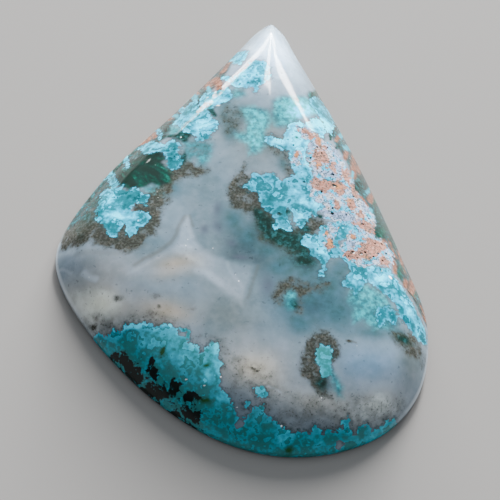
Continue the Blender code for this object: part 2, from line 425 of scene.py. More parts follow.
# Chrysocolla that lies a little deeper, under clear chalcedony.
SUNKEN = (
    ((-6.4, 5.6), (-4.8, 5.7), (-3.5, 5.3), (-3.3, 4.4), (-3.65, 3.3), (-4.2, 2.55), (-4.85, 2.75),
     (-4.95, 3.4), (-5.4, 2.85), (-5.85, 3.4), (-6.2, 4.4)),
    ((-7.9, 8.0), (-7.0, 8.1), (-6.2, 7.0), (-6.2, 6.3), (-7.0, 6.2), (-7.6, 6.6)),
    ((-2.5, 11.4), (-1.3, 11.4), (-1.2, 10.4), (-2.0, 10.1), (-2.6, 10.4)),
    ((-1.7, 9.2), (-0.6, 9.6), (0.6, 9.3), (1.0, 8.0), (0.6, 6.8), (0.9, 5.4), (0.2, 4.3), (-0.8, 4.0),
     (-1.0, 5.2), (-1.9, 5.6), (-2.1, 6.3), (-1.2, 6.6), (-1.1, 7.6)),
    ((0.9, 8.8), (0.8, 10.2), (1.6, 11.0), (2.8, 11.4), (4.0, 11.8), (5.2, 11.8), (5.4, 10.4), (4.2, 9.4),
     (3.2, 8.6), (2.4, 7.6), (1.4, 7.4)),
    ((8.6, -7.2), (9.8, -6.8), (11.6, -7.4), (12.4, -8.4), (12.8, -9.6), (12.0, -10.6), (10.6, -10.9),
     (9.6, -10.2), (8.8, -10.6), (8.7, -9.2), (8.3, -8.2)),
    ((3.4, -8.1), (3.9, -7.9), (4.2, -8.5), (4.3, -9.2), (4.1, -10.0), (3.6, -10.2), (3.2, -9.6), (3.1, -8.8)),
    ((7.3, -14.6), (7.9, -15.2), (8.5, -16.0), (8.5, -16.9), (7.9, -17.2), (7.4, -16.2), (7.2, -15.4)),
    ((-14.6, -1.6), (-13.6, -0.6), (-13.2, -2.0), (-13.2, -3.4), (-13.0, -4.6), (-13.8, -4.4), (-14.4, -3.2)),
    ((-9.2, 0.6), (-8.0, 0.9), (-7.2, 0.6), (-7.0, -0.4), (-7.6, -0.9), (-8.4, -0.3), (-9.0, -0.1)),
    ((1.5, -0.6), (2.6, -0.3), (3.6, -0.4), (3.3, -1.8), (2.2, -2.0)),
    ((-13.4, 1.8), (-12.6, 1.6), (-12.7, 0.2), (-13.1, -0.6), (-13.9, -0.2)),
)
SUNKEN_TONES = (
    (-5.0, 4.6, 2.0, 1.2, 0, 0.2), (-4.3, 3.2, 0.8, 0.8, 0, 0.4), (-7.0, 7.2, 1.0, 1.0, 0, 0.5),
    (-1.8, 10.8, 0.8, 0.8, 0, 0.25), (-0.3, 8.4, 1.2, 1.6, 0, 0.55), (-0.4, 5.6, 1.4, 1.6, 0, 0.62),
    (3.4, 9.6, 2.2, 1.8, 0, 0.98), (9.6, -8.6, 1.6, 1.4, 0, 0.4), (11.6, -8.2, 1.0, 0.8, 0, 0.55),
    (9.1, -10.2, 0.6, 1.0, 0, 0.5), (3.7, -8.8, 0.5, 0.6, 0, 0.6), (8.0, -16.0, 0.9, 1.2, 0, 0.45),
)
# Soft teal clouds deep in the stone: x, y, across, along, turn.
DEEP_TEAL = (
    (7.6, -5.8, 1.3, 1.3, 0),
    (-1.4, -2.2, 1.3, 1.6, 20), (0.0, -3.6, 1.4, 1.6, 0), (1.6, -4.8, 1.6, 0.9, 0), (3.2, -5.8, 1.4, 1.6, 0),
    (6.6, -7.6, 2.2, 1.8, 0), (7.6, -9.6, 2.4, 2.2, 0), (4.6, -11.2, 1.8, 1.5, 0), (10.6, -11.0, 2.8, 0.9, 8),
    (12.6, -10.4, 1.2, 0.8, 0), (5.2, -5.6, 1.4, 1.4, 0), (3.6, -9.4, 1.1, 1.4, 0), (-3.2, 10.0, 1.4, 2.0, 0), (-2.9, 8.0, 1.1, 2.2, 0), (-2.3, 6.6, 0.8, 1.6, 0),
    (-7.9, 0.0, 1.6, 0.9, 20), (-6.6, 0.6, 0.8, 1.2, 20),
    (-1.6, 8.6, 1.2, 1.8, 0), (-2.4, 6.4, 0.8, 1.4, 0), (2.2, 3.8, 0.8, 1.6, 20), (6.8, -16.3, 1.0, 1.1, 0),
    (-13.6, -2.6, 0.9, 2.0, 0), (13.6, -10.8, 1.2, 0.6, 30), (1.4, 8.6, 1.6, 1.6, 0),
    (7.7, -5.4, 1.1, 1.1, 0), (6.9, -6.7, 1.2, 1.3, 0), (5.0, -3.2, 1.2, 0.8, 0),
    (2.6, -6.4, 1.6, 1.3, 0), (4.8, -6.4, 2.0, 1.3, 0), (5.2, -8.8, 1.0, 1.0, 0),
)
# Dark iron and copper stain.
DARK = (
    (2.6, -3.4, 2.1, 1.3, -8), (4.0, -3.9, 1.5, 1.4, 0), (1.3, -2.3, 1.1, 1.2, 0), (4.7, -5.2, 1.4, 1.2, 0),
    (-6.2, 6.0, 1.3, 0.8, 20), (-8.4, 6.0, 2.0, 0.7, 35), (-5.2, 9.2, 0.6, 0.9, 30), (5.6, -0.9, 0.5, 0.3, -20), (4.5, -2.3, 0.5, 0.4, 0),
    (6.7, -16.1, 0.6, 0.7, 0), (2.3, -1.2, 0.3, 0.3, 0), (2.95, -0.95, 0.25, 0.3, 0), (13.0, -10.9, 0.8, 0.5, 0),
    (4.1, -9.6, 0.4, 0.5, 0), (0.6, -1.4, 0.7, 0.7, 0), (-11.6, 2.8, 0.9, 2.6, 30), (-12.4, -0.2, 1.0, 1.6, 30), (-13.6, -1.6, 0.8, 1.8, 30),
    (-5.9, 3.6, 0.3, 0.9, 0), (9.8, -0.8, 0.25, 0.2, 0), (3.0, 10.9, 0.3, 0.3, 0),
)
# Stained rock on the two far bevels, and the marks drawn down them: points, then half the width.
BEVELS = (
    ((4.6, 13.4), (4.0, 12.8), (3.8, 12.0), (4.2, 11.2), (5.0, 9.9), (5.9, 8.8), (6.4, 7.4), (7.2, 6.4),
     (7.7, 5.4), (8.1, 4.4), (8.4, 3.2), (8.8, 2.4), (9.4, 1.6), (10.2, 0.6), (10.1, -0.6), (10.3, -1.3),
     (11.0, -1.9), (11.8, -3.2), (11.9, -4.4), (12.4, -5.2), (13.4, -6.2), (14.4, -7.3), (15.4, -8.2),
     (17.0, -7.0), (9.0, 10.0), (5.4, 13.8)),
    ((-2.7, 17.2), (-2.6, 15.4), (-3.0, 13.6), (-3.5, 12.2), (-4.4, 11.2), (-5.0, 9.2), (-6.6, 8.6),
     (-7.4, 7.2), (-8.0, 6.0), (-9.6, 4.6), (-10.4, 3.0), (-11.0, 1.4), (-12.0, 0.9), (-12.6, 0.2),
     (-13.0, -1.2), (-13.6, -2.2), (-15.0, -2.6), (-17.0, -3.0), (-9.0, 11.0), (-4.0, 18.0)),
)
GREEN_MARKS = (
    (((4.95, 14.4), (4.7, 13.4), (4.3, 12.1)), 0.26), (((6.2, 8.7), (6.1, 7.6)), 0.13),
    (((10.4, 4.1), (10.2, 2.3)), 0.16), (((11.5, 1.2), (11.2, 0.2), (10.8, -1.0)), 0.26),
    (((12.0, 0.5), (11.7, -0.7)), 0.16), (((11.3, -0.9), (10.6, -1.3)), 0.13), (((10.4, -1.5), (10.3, -3.2)), 0.1),
    (((12.75, -3.1), (12.5, -4.8)), 0.24), (((14.2, -5.0), (13.9, -5.8)), 0.12), (((-8.7, 4.6), (-7.6, 4.5)), 0.13),
    (((-10.95, 4.8), (-10.75, 3.9)), 0.12), (((-11.7, 3.9), (-11.4, 3.0)), 0.12), (((12.2, -0.4), (12.0, -1.4)), 0.12),
)
DARK_MARKS = (
    (((8.95, 5.3), (8.75, 4.0), (8.5, 2.9)), 0.36), (((9.75, 5.9), (9.35, 4.2)), 0.24),
    (((10.6, 2.3), (10.7, 0.6), (10.5, -1.1)), 0.38), (((11.15, 0.8), (10.85, -0.9)), 0.24),
    (((6.15, 8.6), (6.05, 7.9)), 0.14), (((5.15, 10.2), (5.6, 9.5)), 0.14), (((10.4, -2.3), (10.6, -3.6)), 0.13),
    (((-7.95, 9.2), (-7.65, 7.1)), 0.36), (((-5.05, 11.3), (-4.9, 9.2)), 0.24), (((-10.1, 5.7), (-9.5, 4.6)), 0.34),
    (((-11.4, 4.8), (-11.05, 2.4), (-10.9, 1.2)), 0.34), (((-12.35, 1.7), (-12.25, 0.9)), 0.17),
    (((-11.95, 1.7), (-11.75, 1.0)), 0.16), (((-13.3, 0.8), (-12.8, -0.9)), 0.22), (((-7.8, 6.3), (-6.7, 6.1)), 0.2),
    (((-6.3, 6.4), (-6.0, 5.6)), 0.26), (((-4.1, 8.9), (-3.7, 8.3)), 0.24), (((14.8, -7.0), (13.4, -5.9)), 0.12),
    (((11.9, -0.6), (12.2, -2.0)), 0.12), (((7.0, 7.4), (6.6, 6.8)), 0.16), (((-12.6, 2.9), (-12.2, 1.9)), 0.14),
)
BROWN_MARKS = (
    (((8.5, 8.3), (8.35, 6.4), (8.25, 4.4)), 0.32), (((8.85, 7.6), (8.75, 5.2)), 0.22),
    (((7.7, 7.6), (7.4, 6.1)), 0.17), (((10.25, 4.5), (9.8, 2.6)), 0.27), (((9.0, 2.3), (9.5, 1.7)), 0.2),
    (((11.7, -0.8), (12.2, -2.4)), 0.2), (((12.6, -1.2), (13.0, -3.4)), 0.22), (((11.2, -1.6), (11.6, -2.9)), 0.3),
    (((6.9, 8.9), (6.6, 7.8)), 0.15), (((12.0, -3.2), (12.1, -4.6)), 0.2), (((14.6, -6.4), (15.0, -7.4)), 0.22),
    (((-4.1, 13.6), (-3.6, 12.2), (-3.5, 11.3)), 0.36), (((-5.45, 13.0), (-5.3, 12.0)), 0.2),
    (((-6.45, 10.4), (-6.1, 8.8)), 0.23), (((-7.3, 10.8), (-7.45, 9.3)), 0.22), (((-8.65, 8.4), (-8.5, 6.8)), 0.2),
    (((-9.7, 7.7), (-9.2, 6.3)), 0.32), (((-3.0, 15.8), (-3.4, 14.2)), 0.27), (((-4.7, 13.9), (-4.4, 12.3)), 0.3),
    (((13.9, -3.9), (13.6, -5.9)), 0.34), (((13.2, -4.6), (13.0, -5.6)), 0.2), (((-9.2, 8.2), (-8.95, 6.8)), 0.2),
)
PALE_MARKS = (
    (((8.2, 5.0), (8.05, 3.8)), 0.09), (((9.75, 4.3), (9.5, 3.5)), 0.13), (((10.0, 5.3), (9.65, 4.4)), 0.1),
    (((7.25, 10.0), (7.0, 9.1)), 0.17), (((7.95, 8.9), (7.5, 7.8)), 0.22), (((-5.65, 12.6), (-5.35, 10.9)), 0.22),
    (((-7.1, 10.0), (-6.6, 8.5)), 0.17), (((9.9, 1.6), (9.75, 0.6)), 0.14), (((12.7, -3.3), (12.5, -4.3)), 0.1),
    (((-4.5, 12.6), (-4.3, 11.4)), 0.12), (((8.9, 1.9), (8.8, 1.2)), 0.12),
)
# Black and bottle-green holes in the near crust.
BLACK = (
    (-8.6, -14.6, 1.2, 0.5, -35), (-7.9, -15.3, 1.1, 0.6, -40), (-6.7, -14.85, 0.4, 0.3, 0),
    (-6.5, -15.6, 0.6, 0.7, 0), (-7.0, -16.4, 1.0, 0.4, -35), (-5.9, -16.8, 1.3, 0.6, -25),
    (-4.6, -16.7, 0.7, 0.6, 0), (-3.4, -17.5, 1.2, 0.55, -10), (-3.2, -18.5, 1.1, 0.6, -35),
    (-4.6, -18.2, 1.0, 0.35, -35), (-10.2, -14.2, 1.4, 0.3, -40), (-2.4, -19.6, 0.9, 0.35, -25),
    (-5.9, -14.35, 0.2, 0.35, 0), (-6.0, -17.6, 0.9, 0.3, -35), (-9.6, -13.9, 0.8, 0.25, -30),
    (-11.4, -12.6, 0.5, 0.15, -35),
)
LEAF_GREEN = (
    (-5.9, -14.3, 0.25, 0.5, 0), (-2.4, -15.5, 0.4, 0.2, 0), (4.7, -20.6, 0.5, 0.3, 0),
    (-2.2, -17.9, 0.6, 0.25, -10), (3.2, 6.7, 0.2, 0.16, 0), (3.35, 4.9, 0.1, 0.1, 0),
)
# A fan of malachite fibres: its root, and the outline it fills.
FAN_ROOT = (-11.6, 4.0)
FAN = (
    (-11.3, 3.6), (-10.6, 4.6), (-9.9, 4.6), (-9.3, 4.9), (-8.4, 5.1), (-7.5, 4.9), (-7.2, 3.8), (-7.1, 2.8),
    (-6.6, 1.8), (-6.5, 0.9), (-7.4, 0.5), (-8.2, 0.6), (-8.8, 0.3), (-9.4, 0.0), (-10.4, 0.0), (-10.9, 0.4),
    (-11.3, 1.2), (-11.6, 2.4),
)
FAN_CORES = (
    (-9.3, 3.9, 1.1, 0.6, -15), (-8.5, 3.2, 0.7, 0.5, -30), (-10.1, 2.4, 0.5, 0.8, 0), (-10.4, 1.4, 0.35, 0.7, 0),
    (-8.0, 4.0, 0.4, 0.4, 0), (-9.2, 2.5, 0.8, 0.25, -35), (-8.4, 1.5, 0.8, 0.15, -40),
)
# Zones of brown moss, each with how dense it is.
MOSS_ZONES = (
    (((-15.6, -2.2), (-14.6, -2.0), (-13.4, -0.6), (-12.2, 0.8), (-11.4, 1.2), (-11.6, -1.6), (-10.4, -2.8), (-9.6, -2.4),
      (-9.6, -0.8), (-8.8, -0.2), (-8.0, 0.3), (-7.4, 0.9), (-7.2, 2.0), (-6.9, 2.8), (-6.4, 4.0), (-5.6, 3.2),
      (-4.9, 3.0), (-3.7, 2.5), (-3.8, 2.0), (-4.8, 1.7), (-5.8, 1.4), (-6.3, 0.6), (-6.7, -0.6), (-7.0, -1.8),
      (-7.3, -3.0), (-7.6, -4.2), (-8.6, -5.2), (-10.0, -5.9), (-11.4, -5.7), (-12.6, -5.0), (-13.8, -5.1),
      (-15.0, -4.6)), 1.0),
    (((-2.0, 1.9), (-1.3, 2.7), (-0.9, 3.3), (-0.6, 2.4), (0.2, 1.6), (0.8, 0.6), (1.4, -0.4), (1.8, -1.3),
      (2.2, -2.2), (2.8, -2.5), (3.6, -2.3), (4.6, -2.0), (4.4, -3.4), (4.5, -5.0), (3.4, -4.9), (2.3, -4.3),
      (1.2, -3.7), (0.7, -2.4), (0.1, -1.5), (-0.8, -1.3), (-1.6, -0.9), (-2.1, 0.3)), 0.9),
    (((-4.2, -13.0), (-2.6, -12.7), (-1.1, -12.9), (-0.5, -14.2), (0.6, -14.8), (2.4, -15.2), (3.4, -16.3),
      (5.6, -17.0), (8.0, -16.9), (9.6, -16.3), (11.6, -16.0), (13.6, -15.2), (14.2, -16.4), (12.6, -17.6),
      (11.0, -18.6), (8.0, -19.6), (5.0, -20.2), (2.0, -19.4), (0.5, -19.2), (-0.8, -18.0), (-1.8, -15.6),
      (-2.4, -14.3), (-3.4, -14.7)), 0.38),
    (((5.0, -15.6), (5.0, -14.0), (5.3, -12.8), (6.2, -11.9), (7.2, -11.9), (7.9, -12.6), (8.1, -13.6),
      (7.6, -14.2), (7.0, -13.8), (6.7, -13.5), (6.4, -13.8), (6.4, -14.6), (6.8, -15.4), (7.2, -16.2),
      (7.6, -17.2), (6.8, -17.4), (6.0, -16.4)), 0.95),
    (((2.5, -10.2), (2.3, -9.0), (2.7, -7.8), (3.7, -7.2), (4.7, -7.7), (5.6, -7.2), (6.6, -7.2), (6.2, -7.9),
      (5.2, -8.0), (4.9, -9.0), (4.5, -10.2), (3.9, -10.6), (4.3, -9.4), (4.1, -8.4), (3.5, -8.1), (3.1, -8.8),
      (3.1, -9.8)), 0.85),
    (((-13.0, -10.4), (-11.6, -10.7), (-10.4, -11.3), (-8.8, -11.3), (-7.4, -11.0), (-5.6, -11.5), (-4.6, -12.2),
      (-6.0, -13.0), (-7.8, -12.8), (-10.0, -13.0), (-12.2, -12.4)), 0.42),
    (((12.0, -10.4), (13.2, -10.0), (14.6, -10.4), (15.4, -11.4), (15.0, -12.4), (13.4, -12.2), (12.2, -11.4)), 0.75),
    (((3.8, -0.9), (4.8, -0.6), (6.0, -1.2), (6.2, -1.9), (5.0, -2.7), (4.2, -2.5)), 0.85),
    (((0.6, 5.6), (1.4, 6.6), (2.6, 6.0), (3.0, 4.2), (3.4, 2.6), (2.6, 2.2), (2.2, 3.4), (1.2, 4.4)), 0.6),
    (((-3.2, 9.4), (-2.0, 9.6), (-1.4, 8.0), (-1.8, 6.0), (-3.0, 6.2), (-3.2, 7.6)), 0.5),
)
MOSS_SPOTS = (
    (-9.9, -10.0, 0.75, 0.5, -10), (-7.0, -9.9, 0.65, 0.5, 0), (-3.9, -10.8, 0.5, 0.35, 0),
    (-11.6, -11.5, 0.9, 0.35, -25), (-6.6, -10.8, 0.3, 0.3, 0), (1.3, -15.6, 0.8, 0.4, -20),
    (8.7, -12.25, 0.45, 0.2, 0), (0.85, -15.95, 0.2, 0.15, 0),
)
MATRIX = (
    (3.2, 7.9), (3.8, 8.2), (4.5, 8.0), (5.0, 7.5), (5.9, 7.0), (6.6, 6.8), (7.1, 6.0), (7.5, 5.2), (7.9, 4.4),
    (8.2, 3.6), (8.5, 2.9), (8.9, 2.2), (9.5, 1.6), (10.1, 0.9), (10.3, 0.1), (10.1, -0.9), (10.4, -1.6),
    (11.3, -1.5), (11.9, -2.4), (12.0, -3.6), (11.6, -4.4), (10.6, -4.5), (10.0, -4.8), (9.1, -5.0),
    (8.5, -4.8), (7.9, -4.5), (7.5, -3.7), (7.6, -2.9), (7.9, -2.4), (8.4, -1.2), (7.2, -1.1), (6.0, -1.0),
    (5.6, -0.2), (5.9, 0.5), (5.2, 0.9), (4.6, 1.6), (4.8, 3.0), (4.6, 3.8), (4.3, 4.6), (4.2, 5.6),
    (4.2, 6.6), (3.6, 6.9), (3.1, 7.3),
)
MATRIX_NOTES = (
    ((3.3, 5.6), (3.8, 5.2), (3.9, 4.2), (3.5, 3.6), (2.9, 4.1), (2.8, 4.9)),
    ((6.3, -1.5), (7.0, -1.4), (7.3, -2.2), (6.8, -2.9), (6.9, -3.6), (6.5, -4.1), (6.1, -3.4), (6.1, -2.4)),
    ((5.0, 1.6), (5.8, 0.9), (5.6, 0.2), (5.1, 0.6), (4.7, 1.2)),
)
PINK = (
    (3.9, 7.6, 0.7, 0.35, 0), (4.4, 7.1, 0.3, 0.5, 0), (5.3, 5.2, 0.9, 1.2, -10), (5.0, 6.9, 0.4, 0.8, 15),
    (5.8, 2.3, 1.3, 0.8, 0), (7.1, 2.7, 0.7, 0.8, 0), (8.1, 1.0, 0.55, 0.9, 0), (6.95, 0.5, 0.35, 0.55, 0),
    (9.0, 0.2, 0.45, 0.5, 0), (9.0, 2.2, 0.5, 0.3, -20), (9.9, -2.2, 0.6, 0.5, 0), (10.7, -2.4, 0.8, 0.7, 0),
    (9.6, -3.6, 1.3, 0.9, 0), (8.5, -4.2, 0.8, 0.6, 0), (11.1, -4.0, 0.6, 0.6, 0), (3.35, 5.1, 0.35, 0.5, 0),
    (3.85, 3.4, 0.4, 0.3, 0), (6.6, -3.4, 0.35, 0.8, 10), (7.5, -1.7, 0.35, 0.35, 0), (6.2, -2.5, 0.25, 0.3, 0),
    (8.4, -2.2, 0.35, 0.3, 0), (7.3, -2.7, 0.4, 0.3, 0), (3.4, 6.2, 0.3, 0.25, 0), (4.9, 2.4, 0.3, 0.4, 0),
    (7.6, 4.2, 0.6, 0.9, 10), (4.5, 2.4, 0.2, 0.2, 0), (9.5, -0.7, 1.0, 0.7, 0), (10.2, -1.0, 0.6, 0.9, 20),
    (8.6, -0.7, 0.4, 0.3, 0), (6.5, 4.4, 0.5, 0.9, 0), (8.4, 2.9, 0.5, 0.8, 0), (10.0, -3.0, 1.0, 0.6, 0),
)
LAVENDER = (
    (7.0, 6.3, 0.9, 0.8, 20), (7.5, -0.5, 2.0, 0.5, -3), (6.3, 3.6, 1.1, 0.45, 0), (5.8, -0.6, 0.6, 0.5, -20),
    (9.3, 1.2, 0.5, 0.6, 20), (6.9, 4.6, 0.5, 0.5, 0), (4.6, 6.2, 0.2, 0.5, 0), (8.2, -3.0, 0.8, 0.3, -25),
)
ORANGE = (
    (5.2, 7.0, 0.25, 0.55, 10), (3.25, 4.9, 0.2, 0.3, 0), (3.85, 3.45, 0.25, 0.2, 0), (5.2, 4.3, 0.4, 0.22, 0),
    (6.9, 2.5, 0.4, 0.3, 0), (7.45, -1.6, 0.3, 0.35, 0), (6.2, -2.45, 0.2, 0.22, 0), (8.4, -2.2, 0.3, 0.25, 0),
    (6.6, -3.3, 0.3, 0.6, 15), (6.9, -4.2, 0.15, 0.35, 10), (5.0, 7.6, 0.25, 0.2, 0), (7.9, 1.5, 0.3, 0.3, 0),
    (9.5, 2.2, 0.2, 0.3, 0), (9.6, -4.1, 0.25, 0.3, 0), (11.0, -1.8, 0.2, 0.25, 0),
)
PITS = (
    (6.6, 2.55, 0.2, 0.14), (5.0, 6.2, 0.1, 0.12), (6.45, 3.7, 0.16, 0.12), (6.6, -0.35, 0.13, 0.16),
    (4.1, 2.3, 0.1, 0.1), (6.6, 0.2, 0.09, 0.11), (8.5, -3.8, 0.2, 0.1), (9.2, -3.8, 0.13, 0.11),
    (9.5, -3.55, 0.12, 0.1), (9.2, -0.7, 0.14, 0.09), (8.9, -4.3, 0.1, 0.08), (10.3, -2.3, 0.12, 0.09),
    (10.9, -2.0, 0.1, 0.12), (11.3, -2.9, 0.12, 0.1), (10.6, -3.3, 0.12, 0.08), (11.0, -3.9, 0.1, 0.09),
    (10.2, -3.8, 0.08, 0.1), (8.3, 2.0, 0.08, 0.12), (8.8, 1.1, 0.08, 0.1), (7.5, 1.2, 0.07, 0.09),
    (5.6, 1.6, 0.08, 0.07), (5.4, 5.7, 0.07, 0.06), (6.2, 4.6, 0.08, 0.06), (7.2, 3.9, 0.1, 0.08),
    (5.9, 6.5, 0.07, 0.08), (3.4, 7.9, 0.09, 0.08), (4.5, 4.9, 0.06, 0.08), (9.7, 0.2, 0.08, 0.12),
    (7.8, -0.2, 0.09, 0.07), (8.2, -4.3, 0.08, 0.07), (3.0, 5.9, 0.09, 0.07), (10.9, -5.0, 0.08, 0.07),
)
# How milky the chalcedony is. The white at the point is milky chalcedony and also painted glare of the light falling
# there.
CLOUDS_AND_TIP_GLARE = (
    (0.8, 16.0, 4.0, 6.5, 0, 1.0, 0.0), (-0.5, 10.0, 2.5, 2.0, 0, 0.5, 0.25), (0.0, 6.0, 3.5, 4.0, 0, 0.25, 0.5),
    (-4.0, 0.5, 3.5, 4.0, -30, 0.25, 0.25), (-8.0, -5.0, 3.5, 2.5, -35, 0.25, 0.25),
    (-11.5, -7.5, 4.5, 2.5, -15, 0.5, 0.5), (-14.5, -6.5, 1.5, 3.0, 20, 0.5, 0.25),
    (-11.5, -10.0, 4.5, 2.0, -30, 1.0, 1.0), (-6.0, -11.0, 3.5, 1.5, 0, 0.5, 1.0),
    (-5.5, -7.0, 2.5, 1.5, 15, 0.5, 1.0), (0.0, -5.0, 4.5, 4.5, 0, 0.0, 0.25),
    (-1.0, -11.0, 3.5, 3.0, 0, 0.25, 0.5), (6.0, -9.0, 5.0, 3.5, 0, 0.0, 0.0),
    (10.5, -13.5, 4.0, 2.5, 10, 0.5, 0.0), (14.0, -12.5, 1.5, 2.5, -10, 0.25, 0.5),
    (1.5, -15.5, 3.5, 2.5, -10, 0.75, 1.0), (6.5, -17.5, 4.5, 1.5, 0, 0.75, 0.75),
    (11.0, -16.5, 3.5, 1.5, 25, 1.0, 0.75),
)
# The pale lilac star in the middle, whose upper edge is crisp.
STAR = (
    (-5.15, -2.2), (-4.95, -2.6), (-4.75, -3.2), (-4.3, -3.9), (-4.0, -4.6), (-3.5, -5.2), (-2.6, -5.7),
    (-1.2, -6.0), (0.9, -6.15), (0.6, -7.5), (0.3, -9.0), (0.1, -10.4), (-1.6, -9.2), (-2.6, -8.4), (-3.6, -7.6),
    (-4.4, -6.9), (-5.2, -6.3), (-6.2, -6.1), (-7.4, -7.0), (-8.6, -7.9), (-9.6, -8.2), (-9.4, -7.7),
    (-8.2, -7.0), (-7.3, -6.3), (-6.5, -5.5), (-6.0, -4.9), (-5.75, -4.2), (-5.6, -3.2),
)
MAUVE = (
    (-2.75, -1.4, 0.5, 1.0, 0), (-2.6, -3.0, 0.6, 0.9, 20), (-1.35, -4.4, 0.6, 0.5, 0), (-0.6, -5.7, 0.9, 0.3, 0),
    (1.9, -8.0, 0.9, 1.6, 0), (-3.6, -3.4, 0.5, 0.6, 0),
)
# Pale wisps and brown threads: a line of points, half its width, and how strong it is.
WISPS = (
    (((-5.15, -2.5), (-4.9, -3.4), (-4.6, -4.2)), 0.16, 0.25), (((-1.6, -6.4), (-0.9, -7.6), (-0.2, -8.5)), 0.14, 0.15),
    (((-12.9, -7.6), (-12.5, -8.0), (-11.8, -8.3)), 0.16, 0.7), (((-14.9, -6.4), (-13.9, -7.2)), 0.06, 0.3),
    (((2.0, -16.9), (2.6, -16.8), (3.2, -17.0), (3.7, -17.4)), 0.05, 0.6),
    (((10.0, -15.6), (11.2, -15.3), (12.4, -15.2)), 0.3, 0.25), (((-3.9, -7.4), (-3.0, -7.6), (-2.0, -8.3)), 0.25, 0.3),
    (((-8.8, -7.8), (-6.6, -7.6), (-4.2, -7.2)), 0.25, 0.12), (((-5.4, -5.2), (-4.6, -5.3)), 0.12, 0.3),
)
THREADS = (
    (((-5.3, -2.4), (-5.65, -3.2), (-5.85, -4.2), (-6.2, -5.0), (-6.7, -5.5), (-7.5, -6.2), (-8.9, -7.2)), 0.14, 0.4),
    (((-5.0, -2.3), (-4.8, -2.8), (-4.6, -3.3)), 0.1, 0.35), (((0.95, -6.3), (0.7, -7.6), (0.35, -9.4)), 0.1, 0.3),
    (((-1.3, 2.2), (-1.75, 1.5), (-2.0, 0.8), (-1.85, 0.4), (-1.4, 0.1)), 0.05, 0.8),
    (((-13.6, -5.8), (-10.4, -6.2), (-8.4, -5.4)), 0.2, 0.25), (((8.4, -12.2), (9.2, -12.3)), 0.08, 0.6),
)
GREEN_LINES = (
    (((5.2, 3.6), (5.8, 3.0), (6.4, 2.9), (7.2, 3.1), (7.6, 3.4)), 0.06), (((4.3, 2.4), (4.1, 2.9)), 0.05),
    (((9.3, 1.6), (9.0, 2.2), (8.4, 1.4)), 0.05),
)
# Painted highlights: small white glints of light on the polish, painted into the colour.
PAINTED_GLINTS = (
    (-4.9, -4.6, 0.1, 0.07), (-5.0, -5.1, 0.06, 0.14), (-0.8, -7.4, 0.12, 0.08), (-0.5, -8.0, 0.08, 0.12),
    (-1.1, -7.8, 0.07, 0.06), (-0.35, -8.4, 0.09, 0.06), (-2.8, -5.2, 0.08, 0.07), (-0.9, -5.6, 0.07, 0.07),
    (-0.2, -7.2, 0.06, 0.09), (9.3, -12.5, 0.09, 0.07), (-3.85, -16.4, 0.12, 0.08), (-2.4, -16.95, 0.14, 0.08),
    (-1.2, -16.3, 0.09, 0.07), (11.7, -5.4, 0.3, 0.16, -45), (-12.4, -8.0, 0.12, 0.08, -30),
    (-6.3, 5.9, 0.05, 0.05), (-7.2, 6.1, 0.05, 0.05), (-8.0, 3.5, 0.05, 0.05), (-8.2, 2.9, 0.07, 0.08),
    (-7.8, 0.0, 0.08, 0.08), (-7.6, -0.6, 0.07, 0.07), (-8.1, -0.3, 0.06, 0.08), (2.6, 2.1, 0.06, 0.06),
    (0.3, -18.4, 0.1, 0.06), (3.9, -19.4, 0.12, 0.05), (6.8, -17.2, 0.05, 0.05), (4.1, -16.6, 0.05, 0.05),
    (-9.0, -3.0, 0.09, 0.07), (-10.2, -2.1, 0.06, 0.05), (-11.6, -2.2, 0.06, 0.05), (-11.0, -3.0, 0.05, 0.06),
)


# Where a painted pale highlight runs along the girdle, the polished edge catching the light.
GIRDLE_HIGHLIGHT_LOBES = ((-14.6, -7.6, 3.5, 5.5, 30), (14.8, -13.6, 3.0, 4.6, -20))
# Where the polish is poor.
DENT_DEPTH = 0.06
HOLLOW_PLACES = (5.6, 7.0, 13.0, 15.5, 28.0)
HOLLOW_DEPTHS = (0.0, 0.02, 0.26, 0.26, 0.0)
DULL = (
    (-3.9, 10.4, 0.9, 1.9, 25), (8.6, 3.0, 0.8, 1.8, -25), (10.4, -2.0, 0.9, 1.4, -25),
)


def malachite(flat, points):
    """How strongly the fan is there, and its fibres from -1 to 1."""
    away = flat - np.array(FAN_ROOT)
    turn = np.arctan2(away[:, 1], away[:, 0])
    reach = np.linalg.norm(away, axis=1)
    along = np.column_stack([(turn + 0.05 * reach) * 11, reach * 0.35, points[:, 2] * 0.2])
    fibres = fractal_noise(along, 1.0, 4, 90)
    return patch(flat, FAN), fibres


